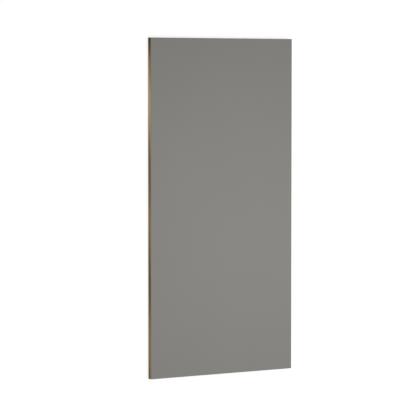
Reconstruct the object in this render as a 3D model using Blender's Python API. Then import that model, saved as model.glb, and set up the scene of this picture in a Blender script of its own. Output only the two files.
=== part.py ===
"""A full 4 ft by 8 ft board: a decorative laminate bonded to one face of a thick wooden core.

The laminate is pressed on oversize, and then laminate and core are sawn to size together, so
their edges are flush all round. Sanding takes the sharpness off the corners and the outer rims.

The board lies flat with the laminate up. X runs across its width, Y along its length and Z up,
in metres. The origin is on the surface that it lies on, under its middle.
"""

import bmesh
import bpy

MM = 0.001
FOOT = 0.3048

# Driving sizes of the sheet
SHEET_WIDTH = 4 * FOOT
SHEET_LENGTH = 8 * FOOT
BOARD_THICKNESS = 38 * MM
LAMINATE_THICKNESS = 1 * MM
GLUE_LINE = 0.3 * MM

# What sanding leaves on the sawn edges
CORNER_RADIUS = 0.8 * MM
CORNER_STEPS = 4
CORE_ARRIS = 0.6 * MM
LAMINATE_ARRIS = 0.3 * MM

# Finishes
LAMINATE_GREY = (0.250, 0.242, 0.227, 1.0)
LAMINATE_ROUGHNESS = 0.55
CORE_BROWN = (0.290, 0.218, 0.115, 1.0)
CORE_ROUGHNESS = 0.8


def clear_scene():
    """Removes whatever the scene holds."""
    for thing in list(bpy.data.objects):
        bpy.data.objects.remove(thing, do_unlink=True)


def plain_material(name, colour, roughness):
    """A non-metallic Principled BSDF of one colour."""
    material = bpy.data.materials.new(name)
    material.use_nodes = True
    shader = material.node_tree.nodes["Principled BSDF"]
    shader.inputs["Base Color"].default_value = colour
    shader.inputs["Roughness"].default_value = roughness
    shader.inputs["Metallic"].default_value = 0.0
    return material


def sawn_blank(thickness):
    """The sheet's outline extruded up by a thickness, with its four upright corners rounded."""
    blank = bmesh.new()
    half_width = SHEET_WIDTH / 2
    half_length = SHEET_LENGTH / 2
    outline = [
        blank.verts.new((-half_width, -half_length, 0)),
        blank.verts.new((half_width, -half_length, 0)),
        blank.verts.new((half_width, half_length, 0)),
        blank.verts.new((-half_width, half_length, 0)),
    ]
    underside = blank.faces.new(outline)
    raised = bmesh.ops.extrude_face_region(blank, geom=[underside])["geom"]
    top_corners = [item for item in raised if isinstance(item, bmesh.types.BMVert)]
    bmesh.ops.translate(blank, verts=top_corners, vec=(0, 0, thickness))
    bmesh.ops.recalc_face_normals(blank, faces=blank.faces)

    uprights = [edge for edge in blank.edges if edge.verts[0].co.z != edge.verts[1].co.z]
    bmesh.ops.bevel(
        blank,
        geom=uprights,
        offset=CORNER_RADIUS,
        segments=CORNER_STEPS,
        profile=0.5,
        affect="EDGES",
    )
    return blank


def ease_rim(blank, height, arris):
    """Chamfers the rim of the face that lies at a height."""
    rim = [
        edge
        for edge in blank.edges
        if all(abs(corner.co.z - height) < arris / 10 for corner in edge.verts)
    ]
    bmesh.ops.bevel(blank, geom=rim, offset=arris, segments=1, affect="EDGES")


def split_flats(blank):
    """Splits the two broad faces into well-shaped triangles, with no long slivers across them."""
    flats = [face for face in blank.faces if len(face.verts) > 4]
    bmesh.ops.triangulate(blank, faces=flats, ngon_method="BEAUTY")


def piece(name, blank, base_height, material, parent):
    """Turns a blank into a named object that lies at its height in the board."""
    split_flats(blank)
    mesh = bpy.data.meshes.new(name)
    blank.to_mesh(mesh)
    blank.free()
    mesh.materials.append(material)
    solid = bpy.data.objects.new(name, mesh)
    solid.location.z = base_height
    solid.parent = parent
    bpy.context.scene.collection.objects.link(solid)
    return solid


def build_core(board):
    """The wooden core, with the rim of its bare back eased so that it doesn't splinter."""
    core_thickness = BOARD_THICKNESS - LAMINATE_THICKNESS - GLUE_LINE
    blank = sawn_blank(core_thickness)
    ease_rim(blank, 0, CORE_ARRIS)
    wood = plain_material("core_wood", CORE_BROWN, CORE_ROUGHNESS)
    return piece("core_board", blank, 0, wood, board)


def build_laminate(board):
    """The decorative laminate, with its show face's rim eased. The glue line lies under it."""
    blank = sawn_blank(LAMINATE_THICKNESS)
    ease_rim(blank, LAMINATE_THICKNESS, LAMINATE_ARRIS)
    laminate = plain_material("face_laminate", LAMINATE_GREY, LAMINATE_ROUGHNESS)
    return piece("face_laminate", blank, BOARD_THICKNESS - LAMINATE_THICKNESS, laminate, board)


clear_scene()
full_board = bpy.data.objects.new("full_board", None)
bpy.context.scene.collection.objects.link(full_board)
build_core(full_board)
build_laminate(full_board)
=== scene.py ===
import random
from math import pi

import bmesh
import bpy
from mathutils import Matrix, Vector, noise


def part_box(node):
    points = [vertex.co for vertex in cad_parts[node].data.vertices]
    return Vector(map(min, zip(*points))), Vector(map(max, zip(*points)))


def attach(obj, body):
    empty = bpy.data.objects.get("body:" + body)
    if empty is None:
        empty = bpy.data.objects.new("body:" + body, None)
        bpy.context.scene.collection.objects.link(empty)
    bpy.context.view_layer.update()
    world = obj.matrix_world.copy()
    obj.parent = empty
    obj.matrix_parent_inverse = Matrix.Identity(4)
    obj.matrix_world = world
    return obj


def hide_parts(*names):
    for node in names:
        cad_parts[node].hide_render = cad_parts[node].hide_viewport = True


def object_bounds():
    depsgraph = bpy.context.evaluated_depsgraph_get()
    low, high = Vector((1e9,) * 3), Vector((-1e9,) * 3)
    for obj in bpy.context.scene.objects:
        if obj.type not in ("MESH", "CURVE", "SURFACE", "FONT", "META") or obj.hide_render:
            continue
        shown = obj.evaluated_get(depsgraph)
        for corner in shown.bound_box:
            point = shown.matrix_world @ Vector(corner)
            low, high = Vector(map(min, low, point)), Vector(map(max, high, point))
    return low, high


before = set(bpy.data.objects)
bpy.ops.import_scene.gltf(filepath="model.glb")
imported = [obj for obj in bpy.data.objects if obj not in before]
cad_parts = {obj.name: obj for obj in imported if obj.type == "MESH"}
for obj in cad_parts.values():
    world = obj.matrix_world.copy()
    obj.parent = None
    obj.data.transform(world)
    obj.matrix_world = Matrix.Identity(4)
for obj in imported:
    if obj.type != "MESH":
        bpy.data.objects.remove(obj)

# The frame. The board lies flat with its laminate up: X runs across it, Y along it, Z up, in
# metres. Its two pieces say where everything goes, and its outer box gives its half width and
# length.
MM = 0.001
cad_low, cad_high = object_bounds()
half_width, half_length = cad_high.x, cad_high.y


# The camera. The photograph looks at the standing sheet through a long lens, a little from its
# left. The sheet lies down here, so the camera hangs over it, with its length upright in view.
CAMERA_PLACE = Vector((-9.455, 0.927, 14.448))
CAMERA_TARGET = Vector((-0.195, 0.053, 0.038))
CAMERA_LENS = 214.0
CAMERA_SIGHT = 200
ALONG_THE_SHEET = Vector((0, 1, 0))


def aim(thing, place, target, up):
    """Puts a camera or a lamp at a place, looking at a target."""
    ahead = (target - place).normalized()
    right = ahead.cross(up).normalized()
    turn = Matrix((right, right.cross(ahead), -ahead)).transposed()
    thing.matrix_world = Matrix.Translation(place) @ turn.to_4x4()


camera = bpy.data.objects.new("camera", bpy.data.cameras.new("camera"))
camera.data.lens = CAMERA_LENS
camera.data.clip_end = CAMERA_SIGHT
bpy.context.scene.collection.objects.link(camera)
aim(camera, CAMERA_PLACE, CAMERA_TARGET, ALONG_THE_SHEET)
bpy.context.scene.camera = camera


# The core's shape. A board this thick is glued up from narrow strips of solid timber that run its
# whole length, between a crossband and a face veneer on each side, and is then sawn to size. Where
# two strips don't quite meet, the glued joint between them shows on the sawn ends as a dark slot.
FACE_VENEER = 0.6 * MM
CROSSBAND = 2.0 * MM
STRIP_WIDTHS = (26 * MM, 36 * MM)
STRIP_SEED = 38
JOINT_WIDTHS = (0.25 * MM, 0.9 * MM)
JOINT_DEPTHS = (1.5 * MM, 4.0 * MM)
JOINT_TAPER = 0.06 * MM
BACK_LEAVES = 5
# how many equal lengths a long edge and an end are cut into, so that their map can stack them
EDGE_LENGTHS = 4
END_LENGTHS = 2
# two points this near each other are one, two faces that turn this little are one, in radians,
# and a point this near a cut lies on it
WELD = 0.01 * MM
SAME_FLAT = 0.01
CUT_SLACK = 0.001 * MM
# a face that looks up or down by at least this much belongs to a broad side, not to the rim
BROAD_SIDE = 0.9

draw = random.Random(STRIP_SEED)
core_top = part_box("core_board")[1].z
strip_low = FACE_VENEER + CROSSBAND
strip_high = core_top - FACE_VENEER - CROSSBAND


def strip_joints():
    """The glued joints between the strips, from left to right: the middle and width of each."""
    found = []
    middle = draw.uniform(*STRIP_WIDTHS) - half_width
    while middle < half_width - STRIP_WIDTHS[0]:
        found.append((middle, draw.uniform(*JOINT_WIDTHS)))
        middle += draw.uniform(*STRIP_WIDTHS)
    return found


def equal_cuts(half_size, lengths):
    """Where the board is cut to divide its width or length into equal lengths."""
    return [half_size * (2 * cut / lengths - 1) for cut in range(1, lengths)]


def cut_copy(node, across, along, levels):
    """A copy of a solid of the frame, cut through by planes at places across, along and up it, so
    that its layers and strips have faces of their own."""
    shape = bmesh.new()
    shape.from_mesh(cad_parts[node].data)
    bmesh.ops.remove_doubles(shape, verts=shape.verts, dist=WELD)
    bmesh.ops.dissolve_limit(shape, angle_limit=SAME_FLAT, verts=shape.verts, edges=shape.edges)
    for axis, places in enumerate((across, along, levels)):
        normal = Vector([float(axis == other) for other in range(3)])
        for place in places:
            everything = [*shape.verts, *shape.edges, *shape.faces]
            bmesh.ops.bisect_plane(
                shape, geom=everything, plane_co=normal * place, plane_no=normal, dist=CUT_SLACK
            )
    return shape


def side_of(face):
    """Which side of the board a face belongs to, from the way it looks."""
    x, y, z = face.normal
    if abs(z) > BROAD_SIDE:
        return "top" if z > 0 else "back"
    if abs(x) > abs(y):
        return "right" if x > 0 else "left"
    return "head" if y > 0 else "foot"


def name_sides(shape):
    """Writes every face's side on it, so that a face added later can take its neighbour's."""
    layer = shape.faces.layers.string.new("side")
    shape.normal_update()
    for face in shape.faces:
        face[layer] = side_of(face).encode()
    return layer


joints = strip_joints()
joint_sides = [middle + edge * width / 2 for middle, width in joints for edge in (-1, 1)]
leaf_joints = equal_cuts(half_width, BACK_LEAVES)
core_shape = cut_copy(
    "core_board",
    across=[*equal_cuts(half_width, END_LENGTHS), *leaf_joints, *joint_sides],
    along=equal_cuts(half_length, EDGE_LENGTHS),
    levels=[FACE_VENEER, strip_low, strip_high, core_top - FACE_VENEER],
)
core_side = name_sides(core_shape)
for middle, width in joints:
    for end in (b"foot", b"head"):
        slot_faces = [
            face
            for face in core_shape.faces
            if face[core_side] == end
            and abs(face.calc_center_median().x - middle) < width / 2
            and strip_low < face.calc_center_median().z < strip_high
        ]
        bmesh.ops.inset_region(
            core_shape,
            faces=slot_faces,
            thickness=JOINT_TAPER,
            depth=-draw.uniform(*JOINT_DEPTHS),
            use_even_offset=True,
        )


# The core's wood. Every face says where the heart of its tree lay, how far its figure is shifted
# along, how pale it is and whether it is cut across the grain. The strips come from one tree each,
# and the bare face veneer on the back is jointed from five wide leaves.
# how deep the hearts lie, how far a figure is shifted either way at most, and how much paler or
# darker than the rest a strip is at most
HEART_DEPTHS = (20 * MM, 90 * MM)
FIGURE_SHIFT = 2.5
PALER = 0.22
# the strip on the left edge is the one that the photograph shows, so it isn't left to chance: its
# heart lies close inside, for long and nearly straight grain
EDGE_HEART_IN = 30 * MM
EDGE_HEART_DEPTH = -20 * MM
EDGE_PALER = -0.07
# the leaves on the back are cut flat from wider trees, and the crossbands from one tree
LEAF_HEART_SHARES = (0.3, 0.7)
LEAF_HEART_DEPTHS = (70 * MM, 150 * MM)
LEAF_PALER = 0.06
BAND_HEART_DEPTH = -140 * MM

heart_of = core_shape.faces.layers.float_vector.new("heart")
shift_of = core_shape.faces.layers.float.new("shift")
paler_of = core_shape.faces.layers.float.new("paler")
across_of = core_shape.faces.layers.float.new("across_grain")

strips = []
strip_edges = [-half_width, *(middle for middle, _ in joints), half_width]
for low, high in zip(strip_edges, strip_edges[1:]):
    heart_side = draw.choice((-1, 1))
    heart = Vector((draw.uniform(low, high), 0, heart_side * draw.uniform(*HEART_DEPTHS)))
    strips.append((high, heart, draw.uniform(-1, 1) * FIGURE_SHIFT, draw.uniform(-1, 1) * PALER))
edge_heart = Vector((EDGE_HEART_IN - half_width, 0, EDGE_HEART_DEPTH))
strips[0] = (strips[0][0], edge_heart, 0.0, EDGE_PALER)

leaves = []
leaf_width = 2 * half_width / BACK_LEAVES
for leaf in range(BACK_LEAVES):
    heart_across = leaf_width * (leaf + draw.uniform(*LEAF_HEART_SHARES)) - half_width
    heart = Vector((heart_across, 0, -draw.uniform(*LEAF_HEART_DEPTHS)))
    leaves.append((heart, draw.uniform(-1, 1) * FIGURE_SHIFT, draw.uniform(-1, 1) * LEAF_PALER))

STRIP, BAND, VENEER = range(3)
for face in core_shape.faces:
    middle = face.calc_center_median()
    side = face[core_side].decode()
    _, heart, shift, paler = next(strip for strip in strips if middle.x <= strip[0] + WELD)
    if side == "top" or strip_low < middle.z < strip_high:
        face.material_index = STRIP
        across = side in ("foot", "head")
    elif side != "back" and FACE_VENEER < middle.z < core_top - FACE_VENEER:
        face.material_index = BAND
        heart, shift, paler = Vector((0, 0, BAND_HEART_DEPTH)), 0.0, 0.0
        across = side in ("left", "right")
    else:
        face.material_index = VENEER
        leaf = int((middle.x + half_width) / leaf_width)
        heart, shift, paler = leaves[min(max(leaf, 0), BACK_LEAVES - 1)]
        across = side in ("foot", "head")
    face[heart_of] = heart
    face[shift_of] = shift
    face[paler_of] = paler
    face[across_of] = float(across)


# The core's map. Its six square metres of faces are laid out on one square. The back fills the
# lower half, and the long edges and ends are stacked above it in rows, where the thin layers get
# more room than their share. The top is glued under the laminate, so one line of pixels does.
MAP_PIXELS = 1024
MAP_GAP = 2
BACK_PIXELS = 553
TOP_PIXELS = 1
ROW_PIXELS = 38
ROW_STEP = 38.5
VENEER_PIXELS = 3
BAND_PIXELS = 5

map_inner = MAP_PIXELS - 2 * MAP_GAP
rows_low = BACK_PIXELS + 3 * MAP_GAP
first_row = {
    "left": 0,
    "right": EDGE_LENGTHS,
    "foot": 2 * EDGE_LENGTHS,
    "head": 2 * EDGE_LENGTHS + END_LENGTHS,
}
core_rows = [
    (0, 0),
    (FACE_VENEER, VENEER_PIXELS),
    (strip_low, VENEER_PIXELS + BAND_PIXELS),
    (strip_high, ROW_PIXELS - VENEER_PIXELS - BAND_PIXELS),
    (core_top - FACE_VENEER, ROW_PIXELS - VENEER_PIXELS),
    (core_top, ROW_PIXELS),
]


def between(value, stops):
    """Where a value falls among stops, each a value and what it turns into."""
    for (low, from_low), (high, from_high) in zip(stops, stops[1:]):
        if value <= high:
            break
    return from_low + (from_high - from_low) * (value - low) / (high - low)


def share_of(place, half_size):
    """How far over the board's width or length a place is, from 0 to 1."""
    return (place + half_size) / (2 * half_size)


def lay_out(shape, side_layer, map_place):
    """Gives the shape its own map. map_place says where a corner of a face on a side goes, in
    pixels of the map, from the corner, the face's middle and the side."""
    layer = shape.loops.layers.uv.new("OFBake")
    for face in shape.faces:
        side = face[side_layer].decode()
        middle = face.calc_center_median()
        for loop in face.loops:
            across, up = map_place(loop.vert.co, middle, side)
            loop[layer].uv = across / MAP_PIXELS, up / MAP_PIXELS


def core_map_place(corner, middle, side):
    """The place of a corner of the core in its map."""
    along, across = share_of(corner.y, half_length), share_of(corner.x, half_width)
    if side == "back":
        return MAP_GAP + along * map_inner, MAP_GAP + across * BACK_PIXELS
    if side == "top":
        return MAP_GAP + along * map_inner, MAP_PIXELS - MAP_GAP + across * TOP_PIXELS
    if side in ("left", "right"):
        lengths, run, face_run = EDGE_LENGTHS, along, share_of(middle.y, half_length)
    else:
        lengths, run, face_run = END_LENGTHS, across, share_of(middle.x, half_width)
    length = min(int(face_run * lengths), lengths - 1)
    low = rows_low + (first_row[side] + length) * ROW_STEP
    return MAP_GAP + (run * lengths - length) * map_inner, low + between(corner.z, core_rows)


lay_out(core_shape, core_side, core_map_place)


# The core's finish. It is one timber cut three ways: strips with their grain along the board and
# slow bands of paler and darker wood, crossbands with it across, and face veneers peeled thin.
# Each timber's colours at the same five tones, from its darkest knot to its palest early wood.
MIDDLE_TONE = 0.5
TONES = (-0.5, 0.0, MIDDLE_TONE, 1.0, 1.5)
STRIP_COLOURS = (
    (0.045, 0.024, 0.008, 1),
    (0.152, 0.095, 0.029, 1),
    (0.377, 0.270, 0.112, 1),
    (0.610, 0.468, 0.240, 1),
    (0.718, 0.574, 0.325, 1),
)
BAND_COLOURS = (
    (0.070, 0.042, 0.022, 1),
    (0.120, 0.075, 0.040, 1),
    (0.230, 0.155, 0.088, 1),
    (0.330, 0.235, 0.140, 1),
    (0.400, 0.300, 0.190, 1),
)
VENEER_COLOURS = (
    (0.110, 0.066, 0.036, 1),
    (0.190, 0.120, 0.068, 1),
    (0.360, 0.255, 0.155, 1),
    (0.480, 0.360, 0.235, 1),
    (0.560, 0.440, 0.300, 1),
)
# pitch of each timber's rings, and how far their heart wanders on its way along the tree
STRIP_RINGS = (4.2 * MM, 24 * MM)
BAND_RINGS = (3.0 * MM, 30 * MM)
VENEER_RINGS = (5.0 * MM, 60 * MM)
# swing, length and crest of each slow band of tone along a strip, and how the bands slant
FIGURE_WAVES = ((0.27, 0.85, -0.09), (0.12, 1.10, -0.44), (0.27, 2.87, 0.98))
FIGURE_SLANT = 6.0
# place along, place up and reach of each knot in a strip
STRIP_KNOTS = ((1.205, 20 * MM, 74 * MM), (-1.62, 9 * MM, 34 * MM), (2.35, 30 * MM, 40 * MM))
# sapwood is paler than the wood near the heart: how much, and where it begins and is all sapwood
SAPWOOD_PALER = 0.30
SAPWOOD_REACH = (38 * MM, 66 * MM)
# how much knots, late wood and pores darken the wood, how far its patches and fibres swing it,
# and how much of its colour is left where it is cut across the grain
KNOT_SHADE = 0.45
LATE_WOOD_SHADE = 0.20
PORE_SHADE = 0.10
PATCH_SWING = 0.30
PATCH_LUMPS = (14, 2.2, 14)
FIBRE_SWING = 0.34
END_GRAIN_LEFT = 0.66
# how rough and how raised the wood is
WOOD_ROUGHNESS = (0.66, 0.86)
WOOD_SPECULAR = 0.35
FIBRE_RISE = 0.5
LATE_WOOD_RISE = 0.25
PORE_DROP = 0.5
SAW_RISE = 0.35
WOOD_RELIEF = (0.08 * MM, 0.8)
# soft noise: its middle, how rough it is, and a spread that holds nearly all of it
NOISE_MIDDLE = 0.5
NOISE_ROUGHNESS = 0.55
WIDE_SPREAD = (0.2, 0.8)


def wired(tree, kind, feeds=(), **settings):
    """Adds a node with its settings, and feeds its inputs: a socket is linked, a value is set."""
    made = tree.nodes.new(kind)
    for name, value in settings.items():
        setattr(made, name, value)
    for key, value in dict(feeds).items():
        if isinstance(value, bpy.types.NodeSocket):
            tree.links.new(value, made.inputs[key])
        else:
            made.inputs[key].default_value = value
    return made


def maths(tree, operation, *values):
    """What a maths node makes of sockets and numbers."""
    return wired(tree, "ShaderNodeMath", enumerate(values), operation=operation).outputs[0]


def vectors(tree, operation, *values):
    """What a vector maths node makes of vectors, as a vector."""
    made = wired(tree, "ShaderNodeVectorMath", enumerate(values), operation=operation)
    return made.outputs["Vector"]


def scaled(tree, vector, size):
    """A vector or a colour, made a number of times as large."""
    feeds = {0: vector, "Scale": size}
    return wired(tree, "ShaderNodeVectorMath", feeds, operation="SCALE").outputs["Vector"]


def added(tree, base, *parts):
    """A tone or a height with parts added to it, each a socket and its weight."""
    for part, weight in parts:
        base = maths(tree, "MULTIPLY_ADD", part, weight, base)
    return base


def centred(tree, value):
    """A soft noise, or another value from 0 to 1, moved to lie evenly round 0."""
    return maths(tree, "SUBTRACT", value, NOISE_MIDDLE)


def ranged(tree, value, low, high, to_low=0.0, to_high=1.0):
    """A value eased from one range into another, and held at its ends."""
    feeds = {"Value": value, "From Min": low, "From Max": high, "To Min": to_low, "To Max": to_high}
    return wired(tree, "ShaderNodeMapRange", feeds, interpolation_type="SMOOTHSTEP").outputs[0]


def mottle(tree, place, lumps, detail=2.0, output="Fac"):
    """Soft noise from 0 to 1, with a number of lumps to a metre along each axis."""
    fed = vectors(tree, "MULTIPLY", place, lumps)
    feeds = {"Vector": fed, "Scale": 1.0, "Detail": detail, "Roughness": NOISE_ROUGHNESS}
    return wired(tree, "ShaderNodeTexNoise", feeds).outputs[output]


def bumped(tree, shader, height, relief):
    """Raises a shader's surface by a height, in a relief of a depth and a strength."""
    feeds = {"Height": height, "Distance": relief[0], "Strength": relief[1]}
    tree.links.new(wired(tree, "ShaderNodeBump", feeds).outputs[0], shader.inputs["Normal"])


def new_material(name):
    """A new material, with its node tree and its shader."""
    material = bpy.data.materials.new(name)
    material.use_nodes = True
    return material, material.node_tree, material.node_tree.nodes["Principled BSDF"]


def shader_group(name, inputs, outputs):
    """A node group with named sockets, with the sockets that its nodes read and those they feed."""
    group = bpy.data.node_groups.new(name, "ShaderNodeTree")
    for label, (kind, value) in inputs.items():
        socket = group.interface.new_socket(label, in_out="INPUT", socket_type="NodeSocket" + kind)
        socket.default_value = value
    for label in outputs:
        group.interface.new_socket(label, in_out="OUTPUT", socket_type="NodeSocketFloat")
    reads = group.nodes.new("NodeGroupInput").outputs
    return group, reads, group.nodes.new("NodeGroupOutput").inputs


# lumps to a metre across, along and up, in the noise that the heart's wander, the rings' ripple,
# the fibres and the pores come from, and how far apart in it two hearts are set
DRIFT_LUMPS = (0, 1.3, 0)
RIPPLE_LUMPS = (90, 5, 90)
FIBRE_LUMPS = (700, 9, 700)
PORE_LUMPS = (1300, 26, 1300)
HEART_SCATTER = 40
# how far the rings ripple, how fine the fibres are, and where a pore's edge fades
RING_RIPPLE = 3 * MM
FIBRE_DETAIL = 3.0
PORE_EDGE = (0.12, 0.34)
# the shares of a ring's width over which late wood comes in and then ends
LATE_WOOD_START = (0.35, 0.88)
LATE_WOOD_END = (0.90, 1.00)
ACROSS_THE_TREE = (1, 0, 1)


def timber_grain():
    """The grain of timber at a place: late wood in rings round a wandering heart, fibres and pores
    along it, and how far off the heart is. A push bends the rings."""
    group, given, gives = shader_group(
        "timber_grain",
        {
            "Place": ("Vector", (0, 0, 0)),
            "Heart": ("Vector", (0, 0, 0)),
            "Ring Pitch": ("Float", 5 * MM),
            "Wander": ("Float", 20 * MM),
            "Push": ("Float", 0.0),
        },
        ("Late Wood", "Fibre", "Pore", "Radius"),
    )
    place, heart = given["Place"], given["Heart"]
    drift_along = vectors(group, "MULTIPLY", place, DRIFT_LUMPS)
    drift_place = vectors(group, "ADD", drift_along, scaled(group, heart, HEART_SCATTER))
    drift = mottle(group, drift_place, (1, 1, 1), output="Color")
    drift = vectors(group, "SUBTRACT", drift, (NOISE_MIDDLE, NOISE_MIDDLE, NOISE_MIDDLE))
    drift = scaled(group, drift, given["Wander"])
    from_heart = vectors(group, "SUBTRACT", vectors(group, "SUBTRACT", place, heart), drift)
    from_heart = vectors(group, "MULTIPLY", from_heart, ACROSS_THE_TREE)
    radius = wired(group, "ShaderNodeVectorMath", {0: from_heart}, operation="LENGTH")
    radius = radius.outputs["Value"]

    ripple = centred(group, mottle(group, place, RIPPLE_LUMPS))
    ring = maths(group, "ADD", added(group, radius, (ripple, RING_RIPPLE)), given["Push"])
    ring = maths(group, "FRACT", maths(group, "DIVIDE", ring, given["Ring Pitch"]))
    start = ranged(group, ring, *LATE_WOOD_START)
    late = maths(group, "MULTIPLY", start, ranged(group, ring, *LATE_WOOD_END, 1.0, 0.0))

    pore_place = vectors(group, "MULTIPLY", place, PORE_LUMPS)
    pore = wired(group, "ShaderNodeTexVoronoi", {"Vector": pore_place, "Scale": 1.0})
    pore = ranged(group, pore.outputs["Distance"], *PORE_EDGE, 1.0, 0.0)
    group.links.new(radius, gives["Radius"])
    group.links.new(late, gives["Late Wood"])
    group.links.new(mottle(group, place, FIBRE_LUMPS, FIBRE_DETAIL), gives["Fibre"])
    group.links.new(pore, gives["Pore"])
    return group


# how high a knot is for its length, and how far it pushes the rings of the trunk aside
KNOT_FLATNESS = 0.34
KNOT_PUSH = 12 * MM
# its own rings: how many to its reach, times 2 pi, how dark they are and how far that swings
KNOT_RINGS = 80.0
KNOT_RING_SHADE = 0.45
KNOT_RING_SWING = 0.20
# the shares of its reach over which its bark, its edge and its halo fade
KNOT_BARK = (0.34, 0.40)
KNOT_EDGE = (0.40, 0.47)
KNOT_HALO = (0.25, 2.1)


def timber_knot():
    """A knot, from how far along and up of it a place is: a ringed heart with dark bark, a halo of
    darker wood, and how far it pushes the rings of the trunk aside."""
    group, given, gives = shader_group(
        "knot",
        {"Along": ("Float", 0.0), "Up": ("Float", 0.0), "Reach": ("Float", 50 * MM)},
        ("Halo", "Heart", "Push"),
    )
    along = maths(group, "DIVIDE", given["Along"], given["Reach"])
    rise = maths(group, "MULTIPLY", given["Reach"], KNOT_FLATNESS)
    up = maths(group, "DIVIDE", given["Up"], rise)
    apart_squared = maths(group, "MULTIPLY_ADD", up, up, maths(group, "MULTIPLY", along, along))
    push = maths(group, "EXPONENT", maths(group, "MULTIPLY", apart_squared, -1.0))
    apart = maths(group, "SQRT", apart_squared)
    rings = maths(group, "SINE", maths(group, "MULTIPLY", apart, KNOT_RINGS))
    rings = maths(group, "MULTIPLY_ADD", rings, KNOT_RING_SWING, KNOT_RING_SHADE)
    rings = maths(group, "MAXIMUM", rings, ranged(group, apart, *KNOT_BARK))
    inside = ranged(group, apart, *KNOT_EDGE, 1.0, 0.0)
    group.links.new(ranged(group, apart, *KNOT_HALO, 1.0, 0.0), gives["Halo"])
    group.links.new(maths(group, "MULTIPLY", inside, rings), gives["Heart"])
    group.links.new(maths(group, "MULTIPLY", push, KNOT_PUSH), gives["Push"])
    return group


# a circular saw's marks: their pitch, how they bow, and how they stutter and come and go
SAW_PITCH = 2.3 * MM
SAW_BOW = 3.0
STUTTER_LUMPS = (9, 9, 0)
STUTTER = 20 * MM
FORCE_LUMPS = (38, 38, 12)
FORCE_SPREAD = (0.35, 0.75)


def saw_marks():
    """The ridges that a saw leaves across a sawn edge at a place, at a pitch along it."""
    group, given, gives = shader_group(
        "saw_marks", {"Place": ("Vector", (0, 0, 0)), "Pitch": ("Float", SAW_PITCH)}, ("Height",)
    )
    apart = wired(group, "ShaderNodeSeparateXYZ", {0: given["Place"]}).outputs
    run = maths(group, "ADD", apart["X"], apart["Y"])
    bow = maths(group, "POWER", apart["Z"], 2.0)
    stutter = mottle(group, given["Place"], STUTTER_LUMPS)
    turns = added(group, run, (bow, SAW_BOW), (stutter, STUTTER))
    turns = maths(group, "DIVIDE", turns, given["Pitch"])
    ridge = maths(group, "SINE", maths(group, "MULTIPLY", turns, 2 * pi))
    force = ranged(group, mottle(group, given["Place"], FORCE_LUMPS), *FORCE_SPREAD)
    group.links.new(maths(group, "MULTIPLY", ridge, force), gives["Height"])
    return group


grain_group = timber_grain()
knot_group = timber_knot()
saw_group = saw_marks()


def object_place(tree):
    """The place of what is shaded, on the board."""
    return wired(tree, "ShaderNodeTexCoord").outputs["Object"]


def written(tree, label, output):
    """What was written on the face that is shaded."""
    return wired(tree, "ShaderNodeAttribute", attribute_name=label).outputs[output]


def sawn(tree, place):
    """The height of the saw marks at a place."""
    return wired(tree, "ShaderNodeGroup", {"Place": place}, node_tree=saw_group).outputs[0]


def toned(tree, tone, colours):
    """The colour at a tone, from the colours at the five tones."""
    span = TONES[-1] - TONES[0]
    share = maths(tree, "DIVIDE", maths(tree, "SUBTRACT", tone, TONES[0]), span)
    ramp = wired(tree, "ShaderNodeValToRGB", {0: share})
    stops = ramp.color_ramp.elements
    stops[0].color, stops[1].color = colours[0], colours[-1]
    for step, colour in zip(TONES[1:-1], colours[1:-1]):
        stops.new((step - TONES[0]) / span).color = colour
    return ramp.outputs[0]


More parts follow.
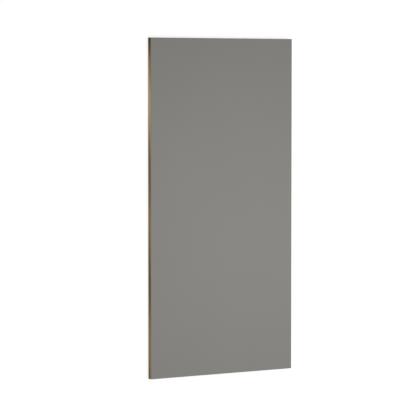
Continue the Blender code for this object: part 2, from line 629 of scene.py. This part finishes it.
def timber(
    name, colours, rings, waves=(), knots=(), sapwood=0, grain_across=False, saw_marked=True
):
    """Bare timber in its colours at the five tones, with rings at a pitch round a heart that
    wanders, slow waves of tone along it, knots, and paler sapwood away from the heart."""
    material, tree, shader = new_material(name)
    place = object_place(tree)
    apart = wired(tree, "ShaderNodeSeparateXYZ", {0: place}).outputs
    x, y, z = apart["X"], apart["Y"], apart["Z"]
    lie = place
    if grain_across:
        lie = wired(tree, "ShaderNodeCombineXYZ", {0: y, 1: x, 2: z}).outputs[0]

    shifted = maths(tree, "ADD", y, written(tree, "shift", "Fac"))
    tone = maths(tree, "ADD", written(tree, "paler", "Fac"), MIDDLE_TONE)
    push = 0.0
    for along, up, reach in knots:
        feeds = {
            "Along": maths(tree, "SUBTRACT", shifted, along),
            "Up": maths(tree, "SUBTRACT", z, up),
            "Reach": reach,
        }
        knot = wired(tree, "ShaderNodeGroup", feeds, node_tree=knot_group).outputs
        tone = added(tree, tone, (knot["Halo"], -KNOT_SHADE), (knot["Heart"], -KNOT_SHADE))
        push = maths(tree, "ADD", knot["Push"], push)
    feeds = {
        "Place": lie,
        "Heart": written(tree, "heart", "Vector"),
        "Ring Pitch": rings[0],
        "Wander": rings[1],
        "Push": push,
    }
    grain = wired(tree, "ShaderNodeGroup", feeds, node_tree=grain_group).outputs

    slanted = added(tree, shifted, (z, FIGURE_SLANT))
    slant_middle = FIGURE_SLANT * core_top / 2
    for swing, length, crest in waves:
        turn = maths(tree, "SUBTRACT", slanted, crest + slant_middle)
        turn = maths(tree, "MULTIPLY", turn, 2 * pi / length)
        tone = added(tree, tone, (maths(tree, "COSINE", turn), swing))
    tone = added(
        tree,
        tone,
        (centred(tree, ranged(tree, grain["Radius"], *SAPWOOD_REACH)), sapwood),
        (centred(tree, mottle(tree, lie, PATCH_LUMPS)), PATCH_SWING),
        (centred(tree, grain["Fibre"]), FIBRE_SWING),
        (grain["Late Wood"], -LATE_WOOD_SHADE),
        (grain["Pore"], -PORE_SHADE),
    )
    left = ranged(tree, written(tree, "across_grain", "Fac"), 0.0, 1.0, 1.0, END_GRAIN_LEFT)
    colour = scaled(tree, toned(tree, tone, colours), left)
    tree.links.new(colour, shader.inputs["Base Color"])

    rough = ranged(tree, grain["Fibre"], *WIDE_SPREAD, *WOOD_ROUGHNESS)
    tree.links.new(rough, shader.inputs["Roughness"])
    shader.inputs["Specular IOR Level"].default_value = WOOD_SPECULAR
    height = added(
        tree,
        0.0,
        (grain["Fibre"], FIBRE_RISE),
        (grain["Late Wood"], LATE_WOOD_RISE),
        (grain["Pore"], -PORE_DROP),
    )
    if saw_marked:
        height = added(tree, height, (sawn(tree, place), SAW_RISE))
    bumped(tree, shader, height, WOOD_RELIEF)
    return material


def lay_down(name, shape, materials):
    """Makes a finished shape an object of the scene."""
    mesh = bpy.data.meshes.new(name)
    shape.to_mesh(mesh)
    shape.free()
    for material in materials:
        mesh.materials.append(material)
    made = bpy.data.objects.new(name, mesh)
    bpy.context.scene.collection.objects.link(made)
    return made


def add_piece(name, shape, materials, node):
    """Makes a finished shape a piece of the board, which may stand for a solid of the frame."""
    made = lay_down(name, shape, materials)
    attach(made, "root")
    if node:
        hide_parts(node)


strip_wood = timber(
    "strip_timber", STRIP_COLOURS, STRIP_RINGS, FIGURE_WAVES, STRIP_KNOTS, SAPWOOD_PALER
)
band_wood = timber("crossband_timber", BAND_COLOURS, BAND_RINGS, grain_across=True)
veneer_wood = timber("face_veneer", VENEER_COLOURS, VENEER_RINGS, saw_marked=False)
core_woods = (strip_wood, band_wood, veneer_wood)
add_piece("timber_core", core_shape, core_woods, "core_board")


# The laminate. Layers of brown kraft paper in hard resin are pressed into a sheet 1 mm thick under
# one sheet of printed grey decor paper. Its face is left matt, and its sawn rim shows the brown.
DECOR_PAPER = 0.12 * MM
# how many cells its broad faces are cut into, so that none of them is long and thin
CELLS_ACROSS = 8
CELLS_ALONG = 16
# the rows of the laminate's map, from below, how many pixels each has, and how many its brown has
LAMINATE_ROWS = ("left", "right", "foot", "head", "back")
LAMINATE_PIXELS = 12
KRAFT_PIXELS = 8

face_low, face_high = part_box("face_laminate")
decor_low = face_high.z - DECOR_PAPER
laminate_shape = cut_copy(
    "face_laminate",
    across=equal_cuts(half_width, CELLS_ACROSS),
    along=equal_cuts(half_length, CELLS_ALONG),
    levels=[decor_low],
)
laminate_side = name_sides(laminate_shape)
DECOR, KRAFT = range(2)
for face in laminate_shape.faces:
    face.material_index = DECOR if face.calc_center_median().z > decor_low else KRAFT

laminate_levels = [(face_low.z, 0), (decor_low, KRAFT_PIXELS), (face_high.z, LAMINATE_PIXELS)]


def laminate_map_place(corner, middle, side):
    """The place of a corner of the laminate in its map: a row for each side that is narrow or
    hidden, and the face above them."""
    along, across = share_of(corner.y, half_length), share_of(corner.x, half_width)
    row = len(LAMINATE_ROWS) if side == "top" else LAMINATE_ROWS.index(side)
    low = MAP_GAP + row * (LAMINATE_PIXELS + MAP_GAP)
    if side == "top":
        return MAP_GAP + along * map_inner, low + across * (MAP_PIXELS - MAP_GAP - low)
    if side == "back":
        return MAP_GAP + along * map_inner, low + across * LAMINATE_PIXELS
    run = along if side in ("left", "right") else across
    return MAP_GAP + run * map_inner, low + between(corner.z, laminate_levels)


lay_out(laminate_shape, laminate_side, laminate_map_place)

# a spread that holds most of a soft noise
CLOSE_SPREAD = (0.3, 0.7)
# the decor paper's colour, its flecks and clouds, its sheen and the plate's suede texture
DECOR_GREY = (0.202, 0.194, 0.179)
DECOR_SWING = 0.05
FLECK_LUMPS = (900, 900, 900)
FLECK_SHARE = 0.5
CLOUD_LUMPS = (2.4, 1.7, 2.4)
SHEEN_LUMPS = (260, 260, 260)
DECOR_ROUGHNESS = (0.50, 0.58)
DECOR_SPECULAR = 0.4
SUEDE_LUMPS = (1500, 1500, 1500)
SUEDE_DETAIL = 3.0
SUEDE_RELIEF = (0.03 * MM, 0.6)
# the kraft paper's colours, its thin layers and what the saw does to them
KRAFT_DARK = (0.050, 0.031, 0.018, 1)
KRAFT_PALE = (0.125, 0.082, 0.050, 1)
KRAFT_LUMPS = (25, 25, 7000)
KRAFT_ROUGHNESS = (0.55, 0.75)
KRAFT_SAW_RISE = 0.5
KRAFT_RELIEF = (0.03 * MM, 0.7)
# which sockets of a Mix node take the share and the two colours, and which gives the colour
MIX_SHARE, MIX_DARK, MIX_PALE = 0, 6, 7
MIX_COLOUR = 2


def blended(tree, share, dark, pale):
    """The colour at a share of the way from a dark one to a pale one."""
    feeds = {MIX_SHARE: share, MIX_DARK: dark, MIX_PALE: pale}
    return wired(tree, "ShaderNodeMix", feeds, data_type="RGBA").outputs[MIX_COLOUR]


def decor_material():
    """Printed decor paper under clear resin, pressed against a matt plate: fine suede texture."""
    material, tree, shader = new_material("decor_laminate")
    place = object_place(tree)
    fleck = mottle(tree, place, FLECK_LUMPS)
    cloud = mottle(tree, place, CLOUD_LUMPS)
    tone = added(tree, 0.0, (fleck, FLECK_SHARE), (cloud, 1 - FLECK_SHARE))
    dark = (*(part * (1 - DECOR_SWING) for part in DECOR_GREY), 1)
    pale = (*(part * (1 + DECOR_SWING) for part in DECOR_GREY), 1)
    tree.links.new(blended(tree, tone, dark, pale), shader.inputs["Base Color"])
    sheen = mottle(tree, place, SHEEN_LUMPS)
    rough = ranged(tree, sheen, *CLOSE_SPREAD, *DECOR_ROUGHNESS)
    tree.links.new(rough, shader.inputs["Roughness"])
    shader.inputs["Specular IOR Level"].default_value = DECOR_SPECULAR
    bumped(tree, shader, mottle(tree, place, SUEDE_LUMPS, SUEDE_DETAIL), SUEDE_RELIEF)
    return material


def kraft_material():
    """The sawn rim of the kraft layers: thin brown lines, torn a little by the saw."""
    material, tree, shader = new_material("kraft_layers")
    place = object_place(tree)
    layers = mottle(tree, place, KRAFT_LUMPS)
    colour = blended(tree, ranged(tree, layers, *CLOSE_SPREAD), KRAFT_DARK, KRAFT_PALE)
    tree.links.new(colour, shader.inputs["Base Color"])
    rough = ranged(tree, layers, *WIDE_SPREAD, *KRAFT_ROUGHNESS)
    tree.links.new(rough, shader.inputs["Roughness"])
    height = added(tree, layers, (sawn(tree, place), KRAFT_SAW_RISE))
    bumped(tree, shader, height, KRAFT_RELIEF)
    return material


laminate_papers = (decor_material(), kraft_material())
add_piece("laminate_sheet", laminate_shape, laminate_papers, "face_laminate")


# The glue. A film of contact adhesive fills the line between core and laminate. It stops a hair
# short of the sawn edges in some places and is squeezed almost flush with them in others.
# steps round its rim, how far short of the sawn edges it stops, and how clear of both sheets
GLUE_PITCH = 12 * MM
GLUE_SHY = (0.03 * MM, 0.30 * MM)
GLUE_CLEAR = 0.02 * MM
# waves to a metre round its rim, and how far apart in the noise its two levels are set
GLUE_WAVES = 45
GLUE_SCATTER = 400
GLUE_DARK = (0.075, 0.046, 0.022, 1)
GLUE_PALE = (0.210, 0.140, 0.070, 1)
GLUE_LUMPS = (60, 60, 900)
GLUE_ROUGHNESS = 0.42


def outline_points():
    """Points at even steps round the board's outline: foot, right edge, head and left edge."""
    across = round(2 * half_width / GLUE_PITCH)
    along = round(2 * half_length / GLUE_PITCH)
    points = [(-half_width + 2 * half_width * step / across, -half_length) for step in range(across)]
    points += [(half_width, -half_length + 2 * half_length * step / along) for step in range(along)]
    return points + [(-x, -y) for x, y in points]


def glue_ring(shape, height):
    """The film's rim at a height, which waves a little inside the board's outline."""
    ring = []
    for x, y in outline_points():
        wave = (noise.noise(Vector((x, y, height * GLUE_SCATTER)) * GLUE_WAVES) + 1) / 2
        shy = GLUE_SHY[0] + (GLUE_SHY[1] - GLUE_SHY[0]) * min(max(wave, 0), 1)
        inside = (x * (1 - shy / half_width), y * (1 - shy / half_length), height)
        ring.append(shape.verts.new(inside))
    return ring


def join_rings(shape, first, second):
    """Faces all round between two rings of as many points."""
    for step in range(len(first)):
        onward = (step + 1) % len(first)
        shape.faces.new((first[step], first[onward], second[onward], second[step]))


def glue_shape():
    """A closed film between core and laminate."""
    shape = bmesh.new()
    under = glue_ring(shape, core_top + GLUE_CLEAR)
    over = glue_ring(shape, face_low.z - GLUE_CLEAR)
    join_rings(shape, under, over)
    shape.faces.new(under[::-1])
    shape.faces.new(over)
    return shape


def glue_material():
    """Dried contact adhesive: amber to brown, with a dull shine."""
    material, tree, shader = new_material("contact_adhesive")
    streaks = mottle(tree, object_place(tree), GLUE_LUMPS)
    colour = blended(tree, ranged(tree, streaks, *CLOSE_SPREAD), GLUE_DARK, GLUE_PALE)
    tree.links.new(colour, shader.inputs["Base Color"])
    shader.inputs["Roughness"].default_value = GLUE_ROUGHNESS
    return material


add_piece("glue_film", glue_shape(), (glue_material(),), None)


# The floor. It is plain and pale, shows white to the camera wherever no shadow falls on it, and is
# open under the board, so that the board's back can be seen from below.
FLOOR_REACH = 60
FLOOR_UNDER_BOARD = 1 * MM
# how much of the light that falls on it the floor gives back to the board and to the camera, and
# how much it is lifted for the camera
FLOOR_PALE = 0.90
FLOOR_SEEN = 0.35
FLOOR_LIFT = 0.77
WHITE = (1, 1, 1, 1)


def floor_ring(shape, reach_x, reach_y):
    """The corners of a rectangle on the floor."""
    corners = ((-1, -1), (1, -1), (1, 1), (-1, 1))
    return [shape.verts.new((x * reach_x, y * reach_y, 0)) for x, y in corners]


def floor_shape():
    """A wide flat floor that reaches a hair under the board, with a hole from there on."""
    shape = bmesh.new()
    far = floor_ring(shape, FLOOR_REACH, FLOOR_REACH)
    hole = floor_ring(shape, half_width - FLOOR_UNDER_BOARD, half_length - FLOOR_UNDER_BOARD)
    join_rings(shape, far, hole)
    return shape


def seen_straight(tree):
    """1 for what the camera, a reflection or glass sees, and 0 for light on its way to the board."""
    rays = wired(tree, "ShaderNodeLightPath").outputs
    seen = maths(tree, "ADD", rays["Is Camera Ray"], rays["Is Glossy Ray"])
    return maths(tree, "MINIMUM", maths(tree, "ADD", seen, rays["Is Transmission Ray"]), 1.0)


def floor_material():
    """Matt white, lifted for the camera, so that only the board's shadow is darker than white."""
    material, tree, shader = new_material("floor")
    shader.inputs["Roughness"].default_value = 1.0
    shader.inputs["Specular IOR Level"].default_value = 0.0
    shader.inputs["Emission Color"].default_value = WHITE
    seen = seen_straight(tree)
    paleness = maths(tree, "MULTIPLY_ADD", seen, FLOOR_SEEN - FLOOR_PALE, FLOOR_PALE)
    tree.links.new(paleness, shader.inputs["Base Color"])
    tree.links.new(maths(tree, "MULTIPLY", seen, FLOOR_LIFT), shader.inputs["Emission Strength"])
    return material


floor = lay_down("floor", floor_shape(), (floor_material(),))


# The light. An even white surround fills every side, and one large soft lamp hangs over the right
# edge of the sheet, a little nearer its foot, so that the face is palest there.
SURROUND = 0.50
LAMP_PLACE = Vector((0.82, -0.33, 3.36))
LAMP_TARGET = Vector((0.95, -0.33, 0))
LAMP_SIZE = 2.4
LAMP_POWER = 68

world = bpy.data.worlds.new("surround")
bpy.context.scene.world = world
world.use_nodes = True
tree = world.node_tree
backdrop = tree.nodes["Background"]
backdrop.inputs["Color"].default_value = WHITE
strength = maths(tree, "MULTIPLY_ADD", seen_straight(tree), 1 - SURROUND, SURROUND)
tree.links.new(strength, backdrop.inputs["Strength"])

lamp = bpy.data.objects.new("softbox", bpy.data.lights.new("softbox", "AREA"))
lamp.data.shape = "SQUARE"
lamp.data.size = LAMP_SIZE
lamp.data.energy = LAMP_POWER
bpy.context.scene.collection.objects.link(lamp)
aim(lamp, LAMP_PLACE, LAMP_TARGET, ALONG_THE_SHEET)

bpy.context.scene.view_settings.view_transform = "Standard"
